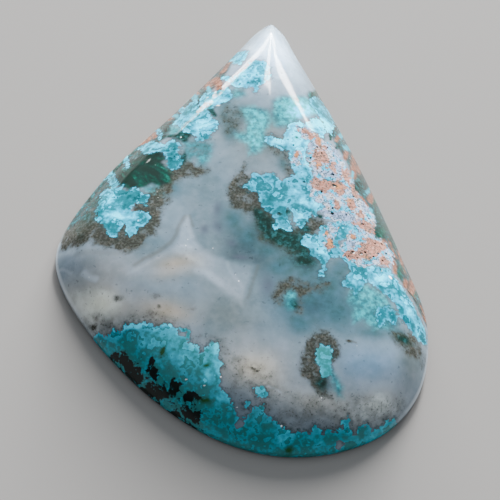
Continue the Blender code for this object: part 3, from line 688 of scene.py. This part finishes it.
def pattern(points):
    """Each mineral's level at every point of the stone, by name. Depths are in millimetres."""
    drift = [fractal_noise(points, 0.9, 4, seed) for seed in (11, 23)]
    flat = points[:, :2] + 0.14 * np.column_stack(drift)
    soft = points[:, :2] + 0.6 * np.column_stack(
        [fractal_noise(points, 3.5, 3, seed) for seed in (37, 41)])
    blotch = fractal_noise(points, 0.8, 4, 53)
    cloud = fractal_noise(points, 2.4, 4, 61)
    levels = {}
    strips = [trail(flat, line, wide) for line, wide in CRUST_STRIPS]
    crust = np.maximum(patches(flat, CRUSTS), np.max(strips, axis=0))
    crust = crust - 1.2 * spots(flat, CRUST_HOLES) + 0.1 * blotch
    levels["crust"] = crust
    levels["tone"] = toned(flat, 0.5, CRUST_TONES) + 0.12 * blotch
    levels["greener"] = ease(points[:, 1], -11.0, -13.5)
    levels["sunken"] = ease(patches(soft * 0.25 + flat * 0.75, SUNKEN) + 0.2 * cloud, -0.25, 0.55)
    levels["sunken_tone"] = toned(flat, 0.45, SUNKEN_TONES) + 0.15 * cloud
    levels["teal"] = spots(soft * 0.5 + flat * 0.5, DEEP_TEAL)
    levels["dark"] = np.clip(spots(flat, DARK) * (1.4 + 0.7 * blotch), 0, 1)
    levels["black"] = spots(flat, BLACK)
    levels["leaf"] = np.clip(spots(flat, LEAF_GREEN) * 1.3, 0, 1)
    fan, fibres = malachite(flat, points)
    levels["fan"] = ease(fan + 0.3 * blotch + 0.2 * fibres, -0.1, 0.45)
    levels["fibres"] = fibres
    loose = flat + 0.3 * (soft - points[:, :2])
    zones = [dense * ease(patch(loose, zone) + 0.5 * blotch + 0.4 * cloud, -0.65, 0.55)
             for zone, dense in MOSS_ZONES]
    levels["moss"] = np.maximum(np.max(zones, axis=0), 0.7 * spots(flat, MOSS_SPOTS) * (1 + blotch))
    matrix = np.maximum(patch(flat, MATRIX), patches(flat, MATRIX_NOTES))
    levels["matrix"] = matrix + 0.12 * blotch
    levels["pink"] = np.clip(spots(flat, PINK) * 1.35 + 0.3 * blotch, 0, 1)
    levels["lavender"] = np.clip(spots(flat, LAVENDER) * 1.2 + 0.2 * blotch, 0, 1)
    levels["orange"] = np.clip(spots(flat, ORANGE) * 1.3, 0, 1)
    levels["pits"] = spots(points[:, :2], PITS)
    levels["bevel"] = ease(patches(flat, BEVELS), -0.15, 0.25)
    levels["green_marks"] = strokes(flat, GREEN_MARKS)
    levels["dark_marks"] = strokes(flat, DARK_MARKS)
    levels["brown_marks"] = strokes(flat, BROWN_MARKS)
    levels["pale_marks"] = strokes(flat, PALE_MARKS)
    levels["cores"] = np.clip(1.3 * spots(flat, FAN_CORES), 0, 1)
    star = patch(soft * 0.2 + flat * 0.8, STAR)
    milky = [(*oval, milk_and_tip_glare) for *oval, milk_and_tip_glare, warm in CLOUDS_AND_TIP_GLARE]
    warmer = [(*oval, warm) for *oval, milk_and_tip_glare, warm in CLOUDS_AND_TIP_GLARE]
    levels["milk_and_tip_glare"] = toned(soft, 0.45, milky) + 0.06 * cloud + 0.2 * ease(star, -0.15, 0.5)
    levels["warm"] = toned(soft, 0.3, warmer) + 0.1 * cloud
    levels["mauve"] = spots(soft * 0.3 + flat * 0.7, MAUVE)
    levels["green_lines"] = strokes(flat, GREEN_LINES)
    levels["wisps"] = np.max([share * ease(trail(flat, line, 2.2 * wide), 0, 2 * wide)
                              for line, wide, share in WISPS], axis=0)
    levels["threads"] = np.max([share * ease(trail(flat, line, 2.2 * wide), 0, 2 * wide)
                                for line, wide, share in THREADS], axis=0)
    edge = inset(points[:, :2], outline_curve(STEPS_PER_SPAN))
    girdle_highlight_band = ease(edge, 0.2, 0.06) * (points[:, 2] > GIRDLE_TOP - 0.01)
    levels["painted_rim_highlight"] = girdle_highlight_band * np.clip(1.5 * spots(flat, GIRDLE_HIGHLIGHT_LOBES), 0, 1)
    levels["dull"] = np.clip(spots(flat, DULL) * 1.3, 0, 1)
    levels["painted_glints"] = spots(points[:, :2], PAINTED_GLINTS)
    return levels


# ---------------------------------------------------------------- the stone's material
class Recipe:
    """Short calls for the material's nodes. A value is a number, a colour or another node's output."""

    def __init__(self, material):
        self.nodes, self.links = material.node_tree.nodes, material.node_tree.links
        place = self.nodes.new("ShaderNodeTexCoord")
        self.place = self.made("ShaderNodeVectorMath", {0: place.outputs["Object"], "Scale": 1 / MM}, "SCALE")
        self.direction = place.outputs["Generated"]

    def made(self, kind, values, operation=None, output=0):
        node = self.nodes.new(kind)
        if operation:
            node.operation = operation
        for socket, value in values.items():
            self.feed(node.inputs[socket], value)
        return node.outputs[output]

    def feed(self, socket, value):
        if isinstance(value, bpy.types.NodeSocket):
            self.links.new(value, socket)
        elif isinstance(value, tuple) and len(value) == 3 and len(socket.default_value) == 4:
            socket.default_value = (*value, 1.0)
        else:
            socket.default_value = value

    def level(self, name):
        node = self.nodes.new("ShaderNodeAttribute")
        node.attribute_name = name
        return node.outputs["Fac"]

    def math(self, operation, first, second=0.0):
        return self.made("ShaderNodeMath", {0: first, 1: second}, operation)

    def noise(self, size, detail=2.0, place=None):
        """Noise from 0 to 1 with features of this many millimetres."""
        node = self.nodes.new("ShaderNodeTexNoise")
        self.feed(node.inputs["Vector"], place or self.place)
        node.inputs["Scale"].default_value = 1 / size
        node.inputs["Detail"].default_value = detail
        node.inputs["Roughness"].default_value = 0.6
        return node.outputs["Fac"]

    def shifted(self, offset):
        """Object coordinates moved aside, so that a second noise differs from the first."""
        return self.made("ShaderNodeVectorMath", {0: self.place, 1: offset}, "ADD")

    def step(self, value, low, high, lowest=0.0, highest=1.0):
        """A smooth step. low may be the larger."""
        node = self.nodes.new("ShaderNodeMapRange")
        node.interpolation_type = "SMOOTHSTEP"
        sockets = {"Value": value, "From Min": low, "From Max": high, "To Min": lowest, "To Max": highest}
        for socket, number in sockets.items():
            self.feed(node.inputs[socket], number)
        return node.outputs["Result"]

    def mix(self, under, over, share):
        node = self.nodes.new("ShaderNodeMix")
        node.data_type = "RGBA"
        self.feed(node.inputs["Factor"], share)
        self.feed(node.inputs[6], under)
        self.feed(node.inputs[7], over)
        return node.outputs[2]

    def ramp(self, value, stops):
        node = self.nodes.new("ShaderNodeValToRGB")
        self.feed(node.inputs["Fac"], value)
        elements = node.color_ramp.elements
        while len(elements) < len(stops):
            elements.new(1.0)
        for element, (at, colour) in zip(elements, stops):
            element.position = at
            element.color = (*colour, 1.0)
        return node.outputs["Color"]


def chalcedony(recipe):
    """Blue-grey milk, beige where it is clear and cream in the star; the white at the point is partly painted glare."""
    milk_and_tip_glare = recipe.math("ADD", recipe.level("milk_and_tip_glare"), recipe.step(recipe.noise(1.1, 5), 0.25, 0.75, -0.07, 0.07))
    cool = recipe.ramp(milk_and_tip_glare, (
        (0.0, COOL_CLEAR), (0.25, COOL_DIM), (0.5, COOL_MIDDLE), (0.75, COOL_PALE), (1.0, COOL_WHITE)))
    warm = recipe.ramp(milk_and_tip_glare, (
        (0.0, WARM_CLEAR), (0.25, WARM_DIM), (0.5, WARM_MIDDLE), (0.75, WARM_PALE), (1.0, WARM_WHITE)))
    colour = recipe.mix(cool, warm, recipe.level("warm"))
    colour = recipe.mix(colour, MAUVE_GREY, recipe.math("MULTIPLY", recipe.level("mauve"), 0.75))
    colour = recipe.mix(colour, WISP, recipe.level("wisps"))
    return recipe.mix(colour, THREAD, recipe.level("threads"))


def hazes(recipe, colour):
    """Teal and dark stain that lie deep, with soft edges."""
    grain = recipe.noise(0.6, 5)
    teal = recipe.ramp(grain, ((0.3, TEAL_GREEN), (0.7, TEAL_BLUE)))
    colour = recipe.mix(colour, teal, recipe.math("MULTIPLY", recipe.level("teal"), 0.85))
    mottle = recipe.step(recipe.noise(0.4, 5), 0.3, 0.7, -0.22, 0.22)
    sunken = recipe.ramp(recipe.math("ADD", recipe.level("sunken_tone"), mottle), (
        (0.0, TEAL_GREEN), (0.4, SUNKEN_TEAL), (0.7, SUNKEN_PALE), (1.0, SUNKEN_WHITE)))
    share = recipe.math("MULTIPLY", recipe.level("sunken"), recipe.step(grain, 0.25, 0.6, 0.7, 0.97))
    return recipe.mix(colour, sunken, share)


def moss(recipe, colour):
    """Fine brown specks in a brownish haze, thicker where the moss is denser."""
    patchy = recipe.step(recipe.noise(0.8, 4, recipe.shifted((1.0, 4.0, 2.0))), 0.3, 0.65, 0.5, 1.1)
    density = recipe.math("MULTIPLY", recipe.level("moss"), patchy)
    haze = recipe.ramp(recipe.noise(0.5, 4), ((0.3, MOSS_BROWN), (0.5, MOSS_GREY), (0.7, MOSS_GOLD)))
    colour = recipe.mix(colour, haze, recipe.step(density, 0.08, 0.75, 0.0, 0.92))
    fine = recipe.noise(0.2, 5, recipe.shifted((7.0, 3.0, 1.0)))
    enough = recipe.step(density, 0.0, 1.0, 0.68, 0.45)
    specks = recipe.step(recipe.math("SUBTRACT", fine, enough), -0.08, 0.12)
    specks = recipe.math("MULTIPLY", specks, recipe.step(density, 0.03, 0.25))
    return recipe.mix(colour, MOSS_DARK, recipe.math("MULTIPLY", specks, 0.8))


def scattered_specks(recipe, colour):
    """Single dark specks, more of them in the clear beige zones."""
    fine = recipe.noise(0.17, 2, recipe.shifted((4.0, 8.0, 6.0)))
    threshold = recipe.step(recipe.level("warm"), 0.2, 1.0, 0.75, 0.66)
    specks = recipe.step(recipe.math("SUBTRACT", fine, threshold), -0.01, 0.05)
    return recipe.mix(colour, MOSS_DARK, recipe.math("MULTIPLY", specks, 0.6))


def stains(recipe, colour):
    """The bevels' stained rock, with its dark green, red-brown, pale and green marks."""
    grain = recipe.noise(0.35, 5, recipe.shifted((2.0, 9.0, 4.0)))
    dark = recipe.ramp(grain, ((0.35, BLACK_GREEN), (0.5, DARK_GREEN), (0.68, DARK_TEAL)))
    colour = recipe.mix(colour, dark, recipe.level("dark"))
    rock = recipe.ramp(grain, ((0.3, RUST_DARK), (0.45, BEVEL_GREY), (0.6, BEVEL_TEAL), (0.75, STREAK_PALE)))
    colour = recipe.mix(colour, rock, recipe.level("bevel"))
    brown = recipe.ramp(grain, ((0.3, RUST_DARK), (0.5, RUST_BROWN), (0.7, RUST_PALE)))
    colour = recipe.mix(colour, brown, recipe.level("brown_marks"))
    colour = recipe.mix(colour, STREAK_PALE, recipe.level("pale_marks"))
    colour = recipe.mix(colour, dark, recipe.level("dark_marks"))
    green = recipe.ramp(grain, ((0.3, DARK_GREEN), (0.5, MALACHITE), (0.7, MALACHITE_PALE)))
    return recipe.mix(colour, green, recipe.level("green_marks"))


def fan(recipe, colour):
    """Malachite fibres: black between green."""
    fibres = recipe.math("ADD", recipe.level("fibres"), recipe.step(recipe.noise(0.3, 4), 0.3, 0.7, 0.35, 0.65))
    green = recipe.ramp(fibres, (
        (0.3, BLACK_GREEN), (0.52, DARK_GREEN), (0.7, MALACHITE), (0.95, MALACHITE_PALE)))
    green = recipe.mix(green, BLACK_GREEN, recipe.level("cores"))
    return recipe.mix(colour, green, recipe.level("fan"))


def crust(recipe, colour):
    """Crisp chrysocolla: deep teal to cyan and nearly white, with lobed edges, a painted shadow just outside them and
    painted pale highlights along their rims.
    """
    ragged = recipe.noise(0.3, 5)
    lobes = recipe.noise(1.5, 3, recipe.shifted((5.0, 1.0, 8.0)))
    depth = recipe.math("ADD", recipe.level("crust"), recipe.step(ragged, 0.25, 0.75, -0.17, 0.17))
    # Painted shadow: a dark ring just outside each crust, as if the crust cast shade.
    painted_shadow = recipe.math("MULTIPLY", recipe.step(depth, -0.3, 0.0), 0.55)
    colour = recipe.mix(colour, CRUST_PAINTED_SHADOW, painted_shadow)
    # Painted highlight: the crust's tone raised along the inside of its edge.
    painted_rim_highlight = recipe.math("MULTIPLY", recipe.step(depth, 0.26, 0.06), 0.16)
    tone = recipe.math("ADD", recipe.level("tone"), painted_rim_highlight)
    # The petal banding, pale at one edge and darker behind it, is the crust's own banding and also painted shading that
    # makes the petals look raised.
    petals = recipe.math("FRACT", recipe.math("MULTIPLY", lobes, 5.0))
    tone = recipe.math("ADD", tone, recipe.step(petals, 0.0, 1.0, 0.12, -0.2))
    tone = recipe.math("ADD", tone, recipe.step(ragged, 0.3, 0.7, -0.1, 0.08))
    tone = recipe.math("ADD", tone, recipe.step(tone, 0.47, 0.53, -0.08, 0.07))
    cyan = recipe.ramp(tone, (
        (0.0, CRUST_INK), (0.2, CRUST_DEEP), (0.4, CRUST_TEAL), (0.6, CRUST_CYAN), (0.8, CRUST_PALE),
        (1.0, CRUST_WHITE)))
    cyan = recipe.mix(cyan, CRUST_GREEN, recipe.math("MULTIPLY", recipe.level("greener"), 0.42))
    return recipe.mix(colour, cyan, recipe.step(depth, -0.02, 0.04))


def holes(recipe, colour):
    """Black, ragged holes in the near crust."""
    ragged = recipe.noise(0.45, 5, recipe.shifted((6.0, 6.0, 2.0)))
    share = recipe.math("ADD", recipe.level("black"), recipe.step(ragged, 0.3, 0.7, -0.45, 0.45))
    return recipe.mix(colour, PIT_BLACK, recipe.step(share, 0.38, 0.55))


def copper_matrix(recipe, colour):
    """Pink and lavender rock, cut by thin grey-green outlines and dotted with black."""
    depth = recipe.math("ADD", recipe.level("matrix"), recipe.step(recipe.noise(0.35, 5), 0.25, 0.75, -0.3, 0.3))
    grain = recipe.noise(0.25, 5, recipe.shifted((1.0, 6.0, 3.0)))
    pink = recipe.ramp(grain, ((0.3, PINK_DEEP), (0.5, PINK_MIDDLE), (0.7, PINK_PALE)))
    ground = recipe.ramp(recipe.noise(0.6, 4, recipe.shifted((8.0, 2.0, 5.0))), (
        (0.3, CRUST_CYAN), (0.42, CRUST_PALE), (0.5, LAVENDER_PALE), (0.62, ROCK_WHITE), (0.68, OUTLINE_GREY)))
    broken = recipe.noise(0.55, 4, recipe.shifted((4.0, 1.0, 1.0)))
    share = recipe.math("ADD", recipe.level("pink"), recipe.step(broken, 0.3, 0.7, -0.42, 0.45))
    rock = recipe.mix(ground, pink, recipe.step(share, 0.38, 0.55))
    lavender = recipe.ramp(grain, ((0.3, LAVENDER_DEEP), (0.65, LAVENDER_PALE)))
    share = recipe.math("ADD", recipe.level("lavender"), recipe.step(grain, 0.7, 0.3, -0.3, 0.3))
    rock = recipe.mix(rock, lavender, recipe.step(share, 0.35, 0.6))
    rock = recipe.mix(rock, ORANGE_SPOT, recipe.math("MULTIPLY", recipe.level("orange"), 0.75))
    winding = recipe.noise(0.75, 4, recipe.shifted((2.0, 5.0, 7.0)))
    bands = recipe.math("FRACT", recipe.math("MULTIPLY", winding, 7.0))
    outline = recipe.step(recipe.math("ABSOLUTE", recipe.math("SUBTRACT", bands, 0.5)), 0.17, 0.08)
    rock = recipe.mix(rock, OUTLINE_GREY, recipe.math("MULTIPLY", outline, 0.9))
    rock = recipe.mix(rock, DARK_GREEN, recipe.math("MULTIPLY", recipe.level("green_lines"), 0.8))
    specks = recipe.step(recipe.noise(0.3, 3, recipe.shifted((3.0, 3.0, 9.0))), 0.64, 0.68)
    rock = recipe.mix(rock, BLACK_GREEN, recipe.math("MULTIPLY", specks, 0.85))
    return recipe.mix(colour, rock, recipe.step(depth, -0.03, 0.06))


def make_material():
    material = bpy.data.materials.new("polished_stone")
    material.use_nodes = True
    shader = material.node_tree.nodes["Principled BSDF"]
    recipe = Recipe(material)
    colour = chalcedony(recipe)
    colour = hazes(recipe, colour)
    colour = moss(recipe, colour)
    colour = scattered_specks(recipe, colour)
    colour = stains(recipe, colour)
    colour = fan(recipe, colour)
    colour = crust(recipe, colour)
    colour = holes(recipe, colour)
    colour = recipe.mix(colour, LEAF, recipe.level("leaf"))
    colour = copper_matrix(recipe, colour)
    colour = recipe.mix(colour, PIT_BLACK, recipe.step(recipe.level("pits"), 0.05, 0.3))
    # Painted highlights: the small white glints.
    colour = recipe.mix(colour, PAINTED_GLINT, recipe.step(recipe.level("painted_glints"), 0.25, 0.7))
    # Painted highlight: a pale line along the girdle's edge in the side lobes.
    colour = recipe.mix(colour, PAINTED_RIM_HIGHLIGHT_COLOUR, recipe.math("MULTIPLY", recipe.level("painted_rim_highlight"), 0.4))
    recipe.feed(shader.inputs["Base Color"], colour)
    mineral = recipe.step(recipe.level("crust"), -0.1, 0.2, GLOSS_POLISHED, GLOSS_CRUST)
    dull = recipe.math("MULTIPLY", recipe.level("dull"), GLOSS_DULL)
    gloss = recipe.math("MAXIMUM", mineral, dull)
    recipe.feed(shader.inputs["Roughness"], gloss)
    shader.inputs["Specular IOR Level"].default_value = 0.2
    shader.inputs["Subsurface Weight"].default_value = 1.0
    shader.inputs["Subsurface Radius"].default_value = (0.0040, 0.0040, 0.0040)
    shader.inputs["Subsurface Scale"].default_value = 1.0
    return material


GLOSS_POLISHED = 0.06
GLOSS_CRUST = 0.12
GLOSS_DULL = 0.12
COOL_CLEAR = (0.02, 0.05, 0.07)
COOL_DIM = (0.05, 0.11, 0.155)
COOL_MIDDLE = (0.11, 0.18, 0.255)
COOL_PALE = (0.2, 0.3, 0.4)
COOL_WHITE = (0.5, 0.68, 0.9)
WARM_CLEAR = (0.06, 0.058, 0.045)
WARM_DIM = (0.14, 0.13, 0.1)
WARM_MIDDLE = (0.23, 0.21, 0.175)
WARM_PALE = (0.35, 0.33, 0.28)
WARM_WHITE = (0.6, 0.62, 0.55)
MAUVE_GREY = (0.05, 0.06, 0.085)
WISP = (0.34, 0.4, 0.46)
THREAD = (0.07, 0.065, 0.045)
TEAL_GREEN = (0.014, 0.05, 0.05)
TEAL_BLUE = (0.025, 0.085, 0.115)
SUNKEN_TEAL = (0.01, 0.13, 0.16)
SUNKEN_PALE = (0.01, 0.34, 0.38)
SUNKEN_WHITE = (0.0, 0.62, 0.95)
MOSS_DARK = (0.0156, 0.0156, 0.0109)
MOSS_BROWN = (0.0234, 0.025, 0.0172)
MOSS_GREY = (0.039, 0.0413, 0.0312)
MOSS_GOLD = (0.0585, 0.053, 0.0351)
DARK_GREEN = (0.004, 0.02, 0.016)
DARK_TEAL = (0.012, 0.07, 0.075)
RUST_DARK = (0.03, 0.018, 0.012)
RUST_BROWN = (0.14, 0.055, 0.03)
STREAK_PALE = (0.0, 0.24, 0.32)
RUST_PALE = (0.22, 0.115, 0.08)
BEVEL_GREY = (0.012, 0.026, 0.026)
BEVEL_TEAL = (0.004, 0.06, 0.068)
BLACK_GREEN = (0.004, 0.012, 0.009)
MALACHITE = (0.001, 0.032, 0.021)
MALACHITE_PALE = (0.005, 0.09, 0.066)
CRUST_GREEN = (0.035, 0.22, 0.19)
# Painted shadow colour of the ring around the crusts.
CRUST_PAINTED_SHADOW = (0.008, 0.035, 0.04)
CRUST_INK = (0.0, 0.03, 0.035)
CRUST_DEEP = (0.0, 0.08, 0.1)
CRUST_TEAL = (0.0, 0.12, 0.16)
CRUST_CYAN = (0.0, 0.19, 0.27)
CRUST_PALE = (0.0, 0.36, 0.55)
CRUST_WHITE = (0.01, 0.68, 0.92)
LEAF = (0.005, 0.06, 0.012)
PINK_DEEP = (0.2, 0.08, 0.055)
PINK_MIDDLE = (0.29, 0.14, 0.105)
PINK_PALE = (0.38, 0.22, 0.18)
LAVENDER_DEEP = (0.13, 0.17, 0.26)
LAVENDER_PALE = (0.22, 0.3, 0.44)
ROCK_WHITE = (0.42, 0.44, 0.46)
ORANGE_SPOT = (0.42, 0.17, 0.05)
OUTLINE_GREY = (0.012, 0.04, 0.036)
PIT_BLACK = (0.003, 0.006, 0.005)
# Painted highlight colour of the glints.
PAINTED_GLINT = (0.9, 0.92, 0.92)
# Painted highlight colour of the girdle's pale line.
PAINTED_RIM_HIGHLIGHT_COLOUR = (0.6, 0.66, 0.72)


def worn(points, dull):
    """The points with the rock's pits, and the small dents of poor polish, pressed into them."""
    pits = 0.12 * ease(spots(points[:, :2], PITS), 0.2, 0.9)
    dents = DENT_DEPTH * dull * (1 + fractal_noise(points, 0.5, 2, 71))
    down = 0.49 * (-1.2 - points[:, 0]) + 0.87 * (14.5 - points[:, 1])
    inward = 0.87 * (points[:, 0] + 1.6) - 0.49 * (points[:, 1] - 14.5)
    hollow = ease(inward, 5.0, 0.5) * np.interp(down, HOLLOW_PLACES, HOLLOW_DEPTHS)
    hollow = hollow * ease(points[:, 2] - GIRDLE_TOP, 0.0, 0.9)
    pits = pits + hollow
    points = points.copy()
    points[:, 2] -= np.where(points[:, 2] > GIRDLE_TOP, pits + dents, 0)
    return points


def make_stone():
    points, faces = stone_mesh()
    levels = pattern(points)
    mesh = bpy.data.meshes.new("stone")
    mesh.from_pydata((worn(points, levels["dull"]) * MM).tolist(), [], faces)
    for name, level in levels.items():
        mesh.attributes.new(name, "FLOAT", "POINT").data.foreach_set("value", level.astype(np.float32))
    mesh.update()
    mesh.shade_smooth()
    mesh.set_sharp_from_angle(angle=math.radians(35))
    mesh.materials.append(make_material())
    stone = bpy.data.objects.new("polished_stone", mesh)
    bpy.context.scene.collection.objects.link(stone)
    print("triangles", sum(len(face) - 2 for face in faces))
    return stone


def plain(name, colour, roughness):
    material = bpy.data.materials.new(name)
    material.use_nodes = True
    shader = material.node_tree.nodes["Principled BSDF"]
    shader.inputs["Base Color"].default_value = (*colour, 1.0)
    shader.inputs["Roughness"].default_value = roughness
    return material


# ---------------------------------------------------------------- floor, light and camera
def make_floor():
    mesh = bpy.data.meshes.new("floor")
    side = 1.5
    mesh.from_pydata([(-side, -side, 0), (side, -side, 0), (side, side, 0), (-side, side, 0)], [], [(0, 1, 2, 3)])
    mesh.materials.append(plain("floor", (0.17, 0.163, 0.155), 0.9))
    floor = bpy.data.objects.new("floor", mesh)
    bpy.context.scene.collection.objects.link(floor)


def area_light(name, azimuth, elevation, distance, size, power, colour=(1, 1, 1), aim=(0, 0, 0)):
    """A rectangular light that faces the stone. Azimuth 0 is beyond the drop's point."""
    light = bpy.data.lights.new(name, "AREA")
    light.shape = "RECTANGLE"
    light.size, light.size_y = size
    light.energy = power
    light.color = colour
    lamp = bpy.data.objects.new(name, light)
    bpy.context.scene.collection.objects.link(lamp)
    turn, lift = math.radians(azimuth), math.radians(elevation)
    away = Vector((math.sin(turn) * math.cos(lift), math.cos(turn) * math.cos(lift), math.sin(lift)))
    lamp.location = Vector(aim) + away * distance
    lamp.rotation_euler = away.to_track_quat("Z", "Y").to_euler()
    return lamp


def make_lights():
    """A wide low window beyond the drop's point, a taller pane, and a soft sky that is dim near the floor."""
    world = bpy.data.worlds.new("studio")
    world.use_nodes = True
    recipe = Recipe(world)
    upward = recipe.made("ShaderNodeSeparateXYZ", {0: recipe.direction}, output=2)
    turn, lift = math.radians(SKY_AZIMUTH), math.radians(SKY_ELEVATION)
    front = (math.sin(turn) * math.cos(lift), math.cos(turn) * math.cos(lift), math.sin(lift))
    facing = recipe.made("ShaderNodeVectorMath", {0: recipe.direction, 1: front}, "DOT_PRODUCT", 1)
    strength = recipe.math(
        "MULTIPLY", recipe.step(upward, 0.05, 0.6, SKY_LOW, SKY_HIGH), recipe.step(facing, -0.9, 0.3, SKY_BEHIND, 1.0))
    background = world.node_tree.nodes["Background"]
    background.inputs["Color"].default_value = (0.86, 0.93, 1.0, 1)
    recipe.feed(background.inputs["Strength"], strength)
    bpy.context.scene.world = world
    area_light("window", -0.2, 9.5, 0.7, (0.72, 0.17), 25.0)
    area_light("tall_pane", 6, 25, 0.7, (0.13, 0.48), 23.0)
    area_light("side_pane", 26, 22, 0.7, (0.05, 0.2), 3.5)


SKY_AZIMUTH = 8
SKY_ELEVATION = 34
SKY_LOW = 0.2
SKY_HIGH = 1.1
SKY_BEHIND = 0.45

CAMERA_ELEVATION = math.radians(58)
CAMERA_TURN = math.radians(-3.342)
CAMERA_ROLL = math.radians(9)
CAMERA_DISTANCE = 210
CAMERA_AIM = (0.353, -1.855, 0)
FOCAL_PIXELS = 2541.9
FRAME_PIXELS = 500


def make_camera():
    camera = bpy.data.cameras.new("camera")
    camera.sensor_width = 36
    camera.lens = FOCAL_PIXELS / FRAME_PIXELS * 36
    camera.clip_start = 0.01
    eye = bpy.data.objects.new("camera", camera)
    bpy.context.scene.collection.objects.link(eye)
    turned = (
        Matrix.Rotation(CAMERA_TURN, 4, "Z")
        @ Matrix.Rotation(math.pi / 2 - CAMERA_ELEVATION, 4, "X")
        @ Matrix.Rotation(CAMERA_ROLL, 4, "Z")
    )
    place = Vector(CAMERA_AIM) * MM + turned.to_3x3() @ Vector((0, 0, CAMERA_DISTANCE * MM))
    eye.matrix_world = Matrix.Translation(place) @ turned
    bpy.context.scene.camera = eye


make_camera()
make_floor()
make_lights()
stone = make_stone()
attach(stone, "root")
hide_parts("cabochon")
